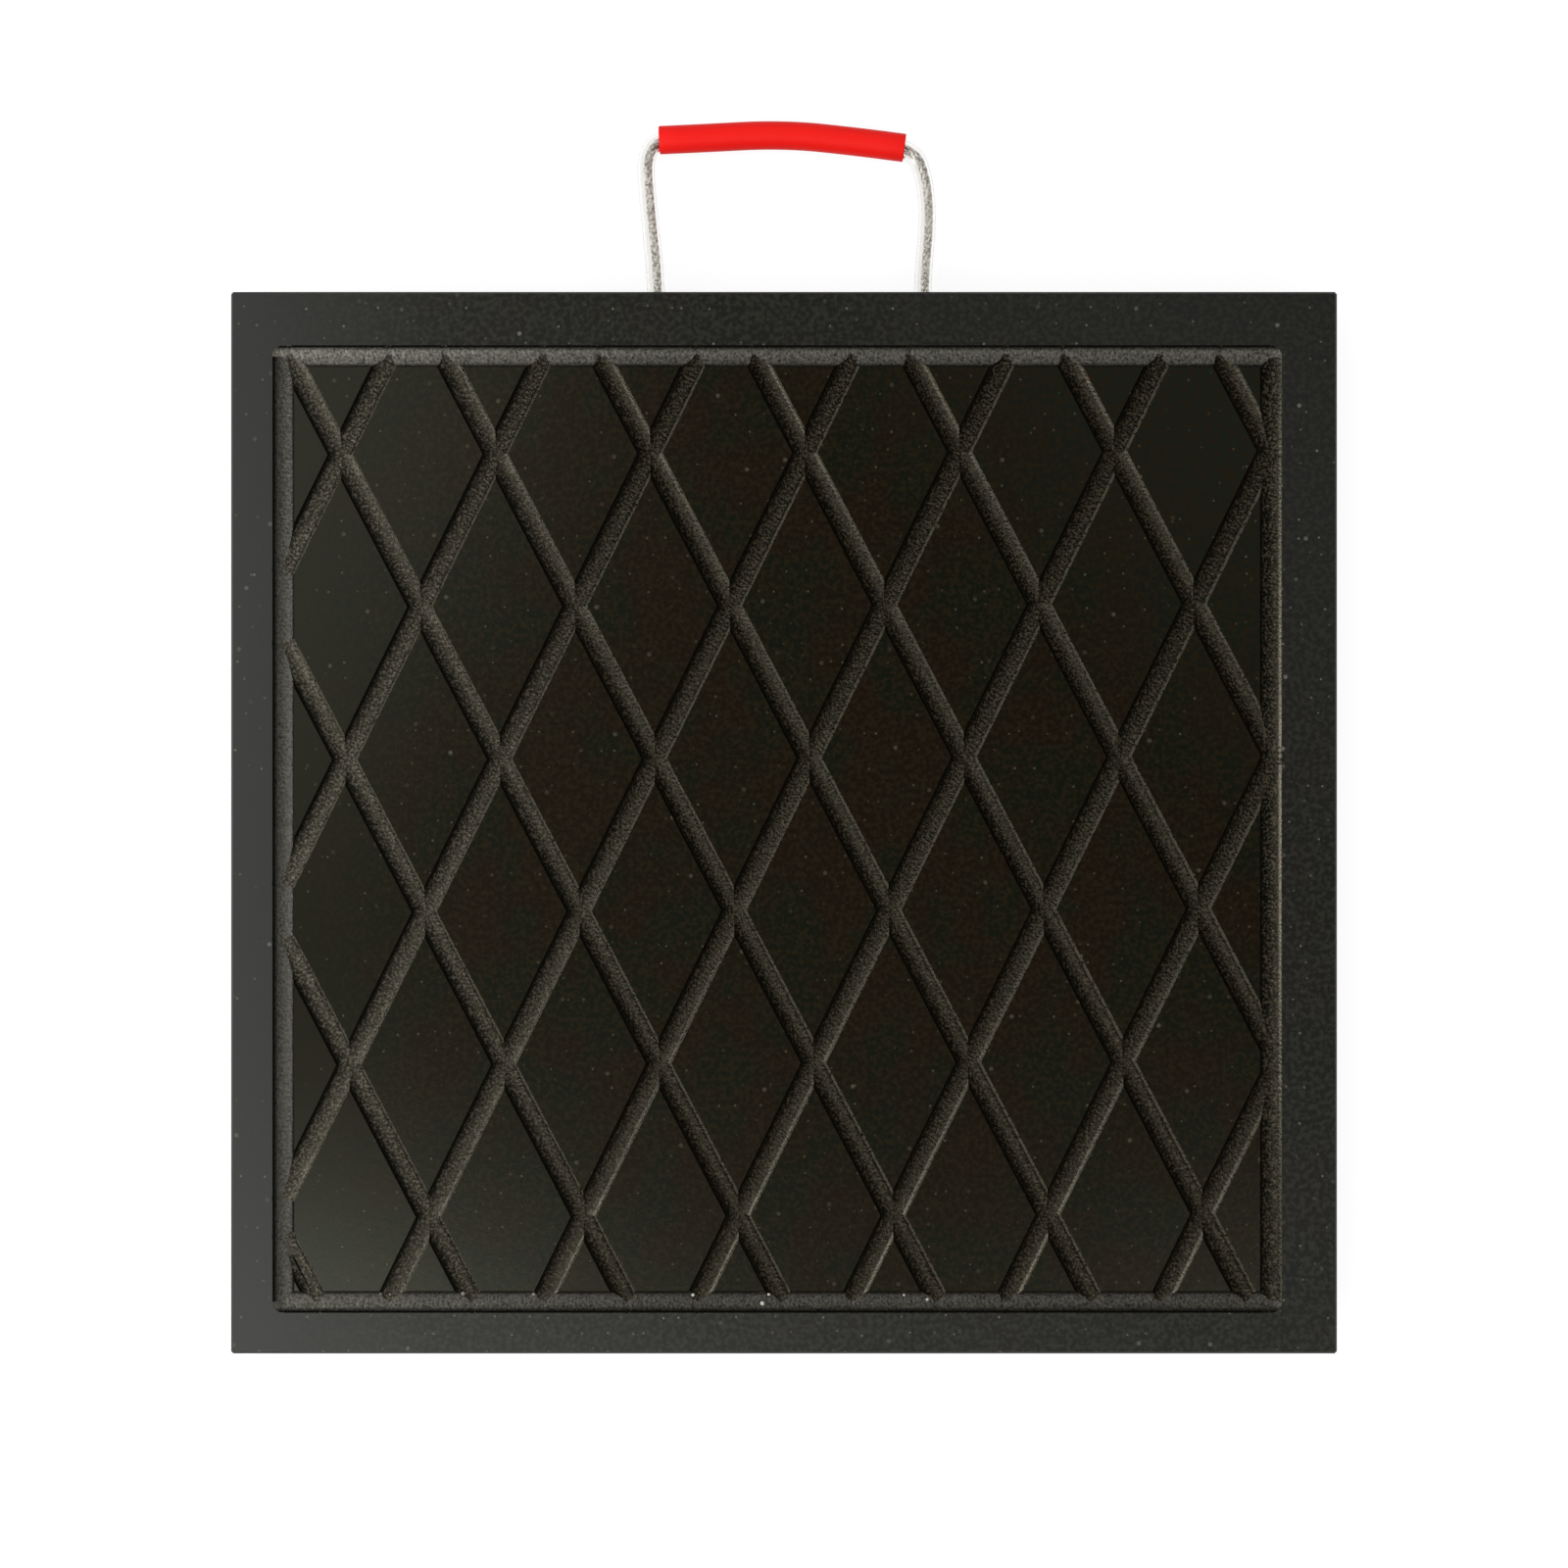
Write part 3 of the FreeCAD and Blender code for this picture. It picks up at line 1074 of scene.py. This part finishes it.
        # The frame grooves' pales differ side by side partly as painted light: palest at the handle
        # end and on the left, which face the lamps, and darkest on the right
        left_cut = MilledPolyethylene(
            Finish.MILLED_LEFT.value,
            offset=self.frame_left,
            pale="#5b584e",
            pale_with_painted_light="#57544c",
            lustre="#fffdf6",
            torn_from=0.25,
            torn_to=0.75,
        )
        looks = (
            PlanedPolyethylene(
                Finish.PLANED_BORDER.value,
                brown="#1a1712",
                green="#161812",
                mottle="#2b2a23",
                lustre="#fdfff9",
                scuff="#6f6c64",
                painted_left_sheen="#2f302d",
                cast="#212120",
                roughness=0.38,
            ),
            PlanedPolyethylene(Finish.PLANED_FIELD.value),
            MilledPolyethylene(
                Finish.MILLED_FORWARD.value,
                heading=self.forward_lean,
                offset=self.forward_offset * forward_square,
                spacing=self.forward_pitch * forward_square,
                lip_highlight_share=1.0,
            ),
            MilledPolyethylene(
                Finish.MILLED_BACK.value,
                heading=-self.back_lean,
                offset=self.back_offset * back_square,
                spacing=self.back_pitch * back_square,
                lip_highlight_share=1.0,
            ),
            left_cut,
            MilledPolyethylene(
                Finish.MILLED_RIGHT.value, offset=self.frame_right, pale="#484335", lip_highlight_share=1.0
            ),
            replace(
                left_cut,
                name=Finish.MILLED_FAR_END.value,
                heading=across_plate,
                offset=-self.frame_far,
                pale="#55524a",
                pale_with_painted_light="#6f6c62",
            ),
            replace(
                left_cut,
                name=Finish.MILLED_HANDLE_END.value,
                heading=across_plate,
                offset=-self.frame_near,
                pale="#6e6b61",
                pale_with_painted_light="#959287",
            ),
            MilledPolyethylene(
                Finish.MILLED_HANDLE_CROSSINGS.value,
                heading=across_plate,
                offset=-self.frame_near,
                pale="#4a4740",
                pale_with_painted_light="#77746a",
                lustre="#fffdf6",
            ),
            SawnPolyethylene(Finish.SAWN_EDGE.value),
            # Painted shade: the chamfers are painted near black for the dark outline at the plate's
            # edges
            SawnPolyethylene(Finish.SCRAPED_CHAMFER.value, black="#050403", pale="#100e0b"),
        )
        return {Finish(look.name): look for look in looks}

    def dress(self, plate: bpy.types.Object) -> None:
        """Give each surface the finish of the tool that made it.

        Args:
            plate: The merged plate.
        """
        looks = self.finishes()
        for look in looks.values():
            plate.data.materials.append(look.build())
        slots = {finish: index for index, finish in enumerate(looks)}
        for polygon in plate.data.polygons:
            polygon.material_index = slots[self.finish_of(polygon)]

    def finish_of(self, polygon: bpy.types.MeshPolygon) -> Finish:
        """Find the finish of one face, by its place and its normal.

        Args:
            polygon: A face of the plate.

        Returns:
            The finish.
        """
        run = self.run_of(polygon)
        if run:
            return self.frame_finish_at(polygon.center) or run.finish
        rise = abs(polygon.normal.z)
        if rise < self.level_rise:
            return Finish.SCRAPED_CHAMFER if rise > self.slope_rise else Finish.SAWN_EDGE
        centre = polygon.center
        in_frame = (
            self.frame_left < centre.x < self.frame_right
            and self.frame_far < centre.y < self.frame_near
        )
        on_top = centre.z > self.top / 2
        return Finish.PLANED_FIELD if in_frame and on_top else Finish.PLANED_BORDER

    def frame_finish_at(self, place: Vector) -> Finish | None:
        """Find the frame groove's finish where a diagonal runs out into it.

        Args:
            place: The middle of a face in a groove.

        Returns:
            The finish, or nothing away from the frame groove.
        """
        if abs(place.y - self.frame_near) < self.groove_half_width:
            in_diagonal = place.z < self.top - self.frame_depth - self.crossing_depth
            return Finish.MILLED_HANDLE_CROSSINGS if in_diagonal else Finish.MILLED_HANDLE_END
        if abs(place.y - self.frame_far) < self.groove_half_width:
            return Finish.MILLED_FAR_END
        if abs(place.x - self.frame_left) < self.groove_half_width:
            return Finish.MILLED_LEFT
        if abs(place.x - self.frame_right) < self.groove_half_width:
            return Finish.MILLED_RIGHT
        return None

    def round_grooves(self, plate: bpy.types.Object) -> None:
        """Give the grooves the normals of the round cutter, so that their facets don't show.

        Args:
            plate: The dressed plate.
        """
        mesh = plate.data
        normals = []
        for polygon in mesh.polygons:
            run = self.run_of(polygon)
            for vertex in polygon.vertices:
                place = mesh.vertices[vertex].co
                normal = (run.nearest(place) - place).normalized() if run else polygon.normal
                normals.append(tuple(normal))
        mesh.normals_split_custom_set(normals)


@dataclass
class SwarfBeads:
    """Beads of swarf that the cutter left where the diagonals meet the far frame groove."""

    # X, Y and radius in millimetres, as the photo shows them
    beads: tuple[tuple[float, float, float], ...] = (
        (-182.4, -213.2, 0.7),
        (-178.2, -213.4, 0.6),
        (-145.2, -213.0, 0.9),
        (-113.3, -213.3, 0.7),
        (-41.2, -213.7, 0.8),
        (-6.9, -213.4, 0.7),
        (-9.8, -217.6, 1.0),
        (54.3, -213.7, 0.6),
        (64.9, -215.9, 0.7),
    )
    plate: PadPlate = field(default_factory=PadPlate)
    # Wider than the plate, so that a bead is torn all over
    torn_width: float = 600 * MM
    crease: float = math.radians(60)

    def build(self) -> bpy.types.Object:
        """Set the beads on the groove's floor.

        Returns:
            The beads as one mesh.
        """
        deselect_all()
        first, *others = self.beads
        self.add_bead(first)
        swarf = bpy.context.object
        swarf.name = "swarf_beads"
        bpy.ops.object.transform_apply(location=True, rotation=True, scale=True)
        bpy.ops.object.mode_set(mode="EDIT")
        for bead in others:
            self.add_bead(bead)
        bpy.ops.object.mode_set(mode="OBJECT")
        bpy.ops.object.shade_smooth_by_angle(angle=self.crease)
        torn = MilledPolyethylene(
            "torn_swarf",
            pale="#d8d4c8",
            torn_from=0.1,
            torn_to=0.4,
            floor_half=self.torn_width,
            side_from=self.torn_width + 1.0 * MM,
        )
        dress_whole(swarf, torn.build())
        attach(swarf, BODY)
        return swarf

    def add_bead(self, bead: tuple[float, float, float]) -> None:
        """Add one bead, with its middle on the groove's surface.

        Args:
            bead: Its X, Y and radius in millimetres.
        """
        x, y, radius = (value * MM for value in bead)
        ball = self.plate.cutter_radius
        rise = ball - math.sqrt(ball**2 - (y - self.plate.frame_far) ** 2)
        height = self.plate.top - self.plate.frame_depth + rise
        bpy.ops.mesh.primitive_ico_sphere_add(
            subdivisions=2, radius=radius, location=(x, y, height)
        )


class LineStep(NamedTuple):
    """One place on a line, two directions square to the line, and the distance run so far."""

    place: Vector
    across: Vector
    up: Vector
    distance: float


@dataclass
class RopeHandle:
    """The carrying handle: a steel rope, loose in a clear tube, with a soft sleeve as its grip."""

    # From the bottom of the left bore to the bottom of the right one
    route: tuple[tuple[float, float, float], ...] = (
        (-58.5, 215.0, 20.0),
        (-58.5, 247.0, 20.0),
        (-62.9, 284.0, 11.0),
        (-65.5, 317.8, 6.4),
        (-41.5, 318.8, 6.4),
        (0.0, 321.0, 6.4),
        (38.0, 316.9, 6.4),
        (60.6, 313.8, 6.4),
        (65.7, 299.0, 7.8),
        (66.9, 279.0, 12.5),
        (63.5, 247.0, 20.0),
        (63.5, 215.0, 20.0),
    )
    mouth: tuple[float, float, float] = (-58.5 * MM, 240.0 * MM, 20.0 * MM)
    length: float = 320 * MM
    sheath_radius: float = 4.0 * MM
    sheath_wall: float = 1.0 * MM
    # The rope lies against the +X side of its loose sheath
    rope_shift: float = 0.9 * MM
    strands: int = 6
    wires: int = 6
    strand_offset: float = 1.333 * MM
    wire_offset: float = 0.444 * MM
    wire_radius: float = 0.222 * MM
    rope_lay: float = 26 * MM
    strand_lay: float = 11 * MM
    grip_radius: float = 6.4 * MM
    grip_wall: float = 1.4 * MM
    grip_left: float = -58.2 * MM
    grip_right: float = 56.3 * MM
    # The rope's far stretch, which the sleeve is on, lies beyond this along Y
    grip_beyond: float = 300 * MM
    # The sleeve is stiffer than the rope, so its ends run straight on from here
    straight_end: float = 9.0 * MM
    rim_round: float = 0.35 * MM
    rim_steps: int = 3
    route_steps: int = 24
    tube_steps: int = 10
    wire_steps: int = 1
    tube_crease: float = math.radians(40)
    wire_crease: float = math.radians(60)

    def build(self) -> bpy.types.Object:
        """Make the sheath, the rope in it and the grip on it.

        Returns:
            The sheath.
        """
        line = self.read_centreline()
        sheath = self.make_sheath()
        strands = self.make_strands([place + Vector((self.rope_shift, 0, 0)) for place in line])
        grip = self.make_grip(line)
        settle(sheath, Slot.SHEATH, "rope_sheath")
        settle(strands, Slot.STEEL, "wire_rope")
        settle(grip, Slot.GRIP, "grip_sleeve")
        return sheath

    def lay_route(self, name: str, radius: float = 0.0) -> bpy.types.Object:
        """Lay a smooth curve along the route.

        Args:
            name: The curve's name.
            radius: The radius that it is drawn with, or nought for a bare line.

        Returns:
            The curve's object.
        """
        route = new_curve(name, radius, self.tube_steps)
        route.data.resolution_u = self.route_steps
        line = add_line(route, [Vector(place) * MM for place in self.route], "NURBS")
        line.order_u = 3
        line.use_endpoint_u = True
        return route

    def read_centreline(self) -> list[Vector]:
        """Read the line that a curve along the route follows.

        Returns:
            Points along it, in order.
        """
        route = self.lay_route("centreline")
        bpy.context.view_layer.update()
        mesh = bpy.data.meshes.new_from_object(route)
        points = [vertex.co.copy() for vertex in mesh.vertices]
        bpy.data.meshes.remove(mesh)
        bpy.data.objects.remove(route)
        return points

    def make_sheath(self) -> bpy.types.Object:
        """Draw the clear tube along the route, with a real wall and bore.

        Returns:
            The tube.
        """
        sheath = to_mesh(self.lay_route("sheath", self.sheath_radius))
        give_wall(sheath, self.sheath_wall)
        bpy.ops.object.shade_smooth_by_angle(angle=self.tube_crease)
        dress_whole(sheath, ClearPvc().build())
        return sheath

    def make_strands(self, line: list[Vector]) -> bpy.types.Object:
        """Lay every wire of the rope.

        Args:
            line: The rope's centreline.

        Returns:
            The wires as one mesh.
        """
        curve = new_curve("strands", self.wire_radius, self.wire_steps)
        curve.data.use_fill_caps = True
        steps = self.carry_steps(line)
        for strand in range(self.strands):
            for wire in range(self.wires):
                add_line(curve, [self.wire_at(step, strand, wire) for step in steps])
        strands = to_mesh(curve)
        bpy.ops.object.shade_smooth_by_angle(angle=self.wire_crease)
        dress_whole(strands, GalvanisedWire().build())
        return strands

    def wire_at(self, step: LineStep, strand: int, wire: int) -> Vector:
        """Find one wire's middle: it winds round its strand, and the strand round the rope.

        Args:
            step: The place on the rope's centreline.
            strand: The strand's number.
            wire: The wire's number in its strand.

        Returns:
            The wire's middle beside that place.
        """
        turn = 2 * math.pi * (step.distance / self.rope_lay + strand / self.strands)
        twist = 2 * math.pi * (wire / self.wires - step.distance / self.strand_lay)
        outward = step.across * math.cos(turn) + step.up * math.sin(turn)
        sideways = step.up * math.cos(turn) - step.across * math.sin(turn)
        reach = self.strand_offset + self.wire_offset * math.cos(twist)
        swing = self.wire_offset * math.sin(twist)
        return step.place + outward * reach + sideways * swing

    def carry_steps(self, line: list[Vector]) -> list[LineStep]:
        """Carry a pair of cross directions along a line without letting them twist.

        Args:
            line: The points of the line.

        Returns:
            A step for each point.
        """
        steps = []
        heading = (line[1] - line[0]).normalized()
        across = heading.orthogonal().normalized()
        distance = 0.0
        for index, place in enumerate(line):
            ahead = line[min(index + 1, len(line) - 1)]
            behind = line[max(index - 1, 0)]
            new_heading = (ahead - behind).normalized()
            across = heading.rotation_difference(new_heading) @ across
            heading = new_heading
            distance += (place - behind).length
            steps.append(LineStep(place, across, heading.cross(across), distance))
        return steps

    def make_grip(self, line: list[Vector]) -> bpy.types.Object:
        """Shape the soft sleeve round the middle of the rope.

        Args:
            line: The rope's centreline.

        Returns:
            The sleeve.
        """
        curve = new_curve("grip", self.grip_radius, self.tube_steps)
        add_line(curve, self.grip_path(line))
        grip = to_mesh(curve)
        give_wall(grip, self.grip_wall)
        rims = grip.modifiers.new("rims", "BEVEL")
        rims.width = self.rim_round
        rims.segments = self.rim_steps
        rims.limit_method = "ANGLE"
        rims.angle_limit = math.radians(60)
        bpy.ops.object.modifier_apply(modifier=rims.name)
        bpy.ops.object.shade_smooth_by_angle(angle=self.tube_crease)
        dress_whole(grip, RedPvc().build())
        return grip

    def grip_path(self, line: list[Vector]) -> list[Vector]:
        """Follow the rope through the sleeve, and run straight on at both ends.

        Args:
            line: The rope's centreline.

        Returns:
            The sleeve's centreline.
        """
        kept = [
            place
            for place in line
            if place.y > self.grip_beyond
            and self.grip_left + self.straight_end < place.x < self.grip_right - self.straight_end
        ]
        first_run = (kept[0] - kept[1]).normalized()
        last_run = (kept[-1] - kept[-2]).normalized()
        left_end = kept[0] + first_run * (kept[0].x - self.grip_left)
        right_end = kept[-1] + last_run * (self.grip_right - kept[-1].x)
        return [left_end, *kept, right_end]


@dataclass(frozen=True)
class SoftPanel:
    """A square soft light that faces the pad, placed by angles in degrees, its power in watts."""

    name: str
    off_vertical: float
    azimuth: float
    power: float
    distance: float = 2.4
    size: float = 1.0
    colour: str = "#ffffff"

    def build(self) -> None:
        """Hang the panel and turn it to the pad."""
        data = bpy.data.lights.new(self.name, "AREA")
        data.size = self.size
        data.energy = self.power
        data.color = linear(self.colour)[:3]
        panel = bpy.data.objects.new(self.name, data)
        lean = math.radians(self.off_vertical)
        turn = math.radians(self.azimuth)
        heading = Vector(
            (math.sin(lean) * math.cos(turn), math.sin(lean) * math.sin(turn), math.cos(lean))
        )
        panel.location = heading * self.distance
        panel.rotation_mode = "QUATERNION"
        panel.rotation_quaternion = (-heading).to_track_quat("-Z", "Y")
        bpy.context.scene.collection.objects.link(panel)


@dataclass
class Studio:
    """A white floor, soft panels to the left of the pad and past its far end, and a camera."""

    camera_place: tuple[float, float, float] = (0.0, 0.0175, 1.040)
    field_width: float = 708.3 * MM
    field_height: float = 40 * MM
    sensor: float = 36.0
    floor_size: float = 8.0
    white: str = "#ffffff"
    floor_own_light: float = 0.82
    floor_reflects: float = 0.3
    panels: tuple[SoftPanel, ...] = (
        SoftPanel("low_window", off_vertical=80, azimuth=180, power=2.4, distance=1.3, size=0.4),
        SoftPanel("window", off_vertical=70, azimuth=178, power=1.9, distance=0.9, size=0.5),
        SoftPanel("left_panel", off_vertical=45, azimuth=178, power=7),
        SoftPanel("lower_panel", off_vertical=34, azimuth=240, power=9),
        SoftPanel("upper_left_panel", off_vertical=26, azimuth=150, power=1.9),
        SoftPanel("lower_right_panel", off_vertical=34, azimuth=300, power=2.4),
    )
    room_light: float = 0.64
    # What glossy surfaces mirror, from low in the room to high, by the upward share of the ray
    horizon_light: float = 0.05
    overhead_light: float = 0.03
    low_rise: float = 0.05
    high_rise: float = 0.75

    def build(self) -> None:
        """Set up the camera, the floor, the light and the world."""
        scene = bpy.context.scene
        scene.view_settings.view_transform = "Standard"
        self.make_camera(scene)
        self.make_floor()
        for panel in self.panels:
            panel.build()
        self.make_world(scene)
        log.info("studio ready")

    def make_camera(self, scene: bpy.types.Scene) -> None:
        """Point a camera straight down at the pad.

        Args:
            scene: The scene that gets the camera.
        """
        data = bpy.data.cameras.new("camera")
        data.sensor_width = self.sensor
        distance = self.camera_place[2] - self.field_height
        data.lens = self.sensor * distance / self.field_width
        camera = bpy.data.objects.new("camera", data)
        camera.location = self.camera_place
        scene.collection.objects.link(camera)
        scene.camera = camera

    def make_floor(self) -> None:
        """Lay a floor that the camera sees as white, with the pad's shadow on it."""
        deselect_all()
        bpy.ops.mesh.primitive_plane_add(size=self.floor_size)
        floor = bpy.context.object
        floor.name = "floor"
        dress_whole(floor, self.make_paper())

    def make_paper(self) -> bpy.types.Material:
        """Make the floor's white paper, which lights itself for the camera and in mirrored views.

        Returns:
            The paper, with little light of its own to throw on the pad.
        """
        material, tree = new_material("white_paper")
        ray = add_node(tree, "LightPath")
        seen = add_node(
            tree,
            "Math",
            {"operation": "MAXIMUM"},
            {0: ray.outputs["Is Camera Ray"], 1: ray.outputs["Is Glossy Ray"]},
        )
        seen_through = add_node(
            tree,
            "Math",
            {"operation": "MAXIMUM"},
            {0: seen.outputs[0], 1: ray.outputs["Is Transmission Ray"]},
        )
        strength = add_node(
            tree,
            "Math",
            {"operation": "MULTIPLY"},
            {0: seen_through.outputs[0], 1: self.floor_own_light},
        )
        grey = (self.floor_reflects, self.floor_reflects, self.floor_reflects, 1.0)
        paper = add_node(tree, "BsdfDiffuse", {}, {"Color": grey})
        glow = add_node(
            tree,
            "Emission",
            {},
            {"Color": linear(self.white), "Strength": strength.outputs[0]},
        )
        shader = add_node(tree, "AddShader", {}, {0: paper.outputs[0], 1: glow.outputs[0]})
        finish_surface(tree, shader.outputs[0])
        return material

    def make_world(self, scene: bpy.types.Scene) -> None:
        """Surround the pad with a white room that is dark overhead.

        Args:
            scene: The scene that gets the world.
        """
        world = bpy.data.worlds.new("room")
        world.use_nodes = True
        scene.world = world
        tree = world.node_tree
        tree.nodes.clear()
        direction = add_node(tree, "TexCoord").outputs["Generated"]
        height = add_node(tree, "SeparateXYZ", {}, {0: direction})
        mirrored = add_node(
            tree,
            "MapRange",
            {},
            {
                0: height.outputs["Z"],
                1: self.low_rise,
                2: self.high_rise,
                3: self.horizon_light,
                4: self.overhead_light,
            },
        )
        ray = add_node(tree, "LightPath")
        seen = add_node(
            tree,
            "Math",
            {"operation": "MAXIMUM"},
            {0: ray.outputs["Is Camera Ray"], 1: ray.outputs["Transmission Depth"]},
        )
        unseen = add_node(
            tree,
            "Mix",
            {"data_type": "FLOAT"},
            {0: ray.outputs["Is Glossy Ray"], 2: self.room_light, 3: mirrored.outputs[0]},
        )
        strength = add_node(
            tree,
            "Mix",
            {"data_type": "FLOAT"},
            {0: seen.outputs[0], 2: unseen.outputs[0], 3: 1.0},
        )
        background = add_node(
            tree,
            "Background",
            {},
            {"Color": linear(self.white), "Strength": strength.outputs[0]},
        )
        add_node(tree, "OutputWorld", {}, {"Surface": background.outputs[0]})


def main() -> None:
    """Build the studio, the handle, the plate and its swarf, in that order."""
    logging.basicConfig(level=logging.INFO, format="%(name)s: %(message)s")
    Studio().build()
    for part in (RopeHandle(), PadPlate(), SwarfBeads()):
        piece = part.build()
        log.info("%s built", piece.name)


if __name__ == "__main__":
    main()
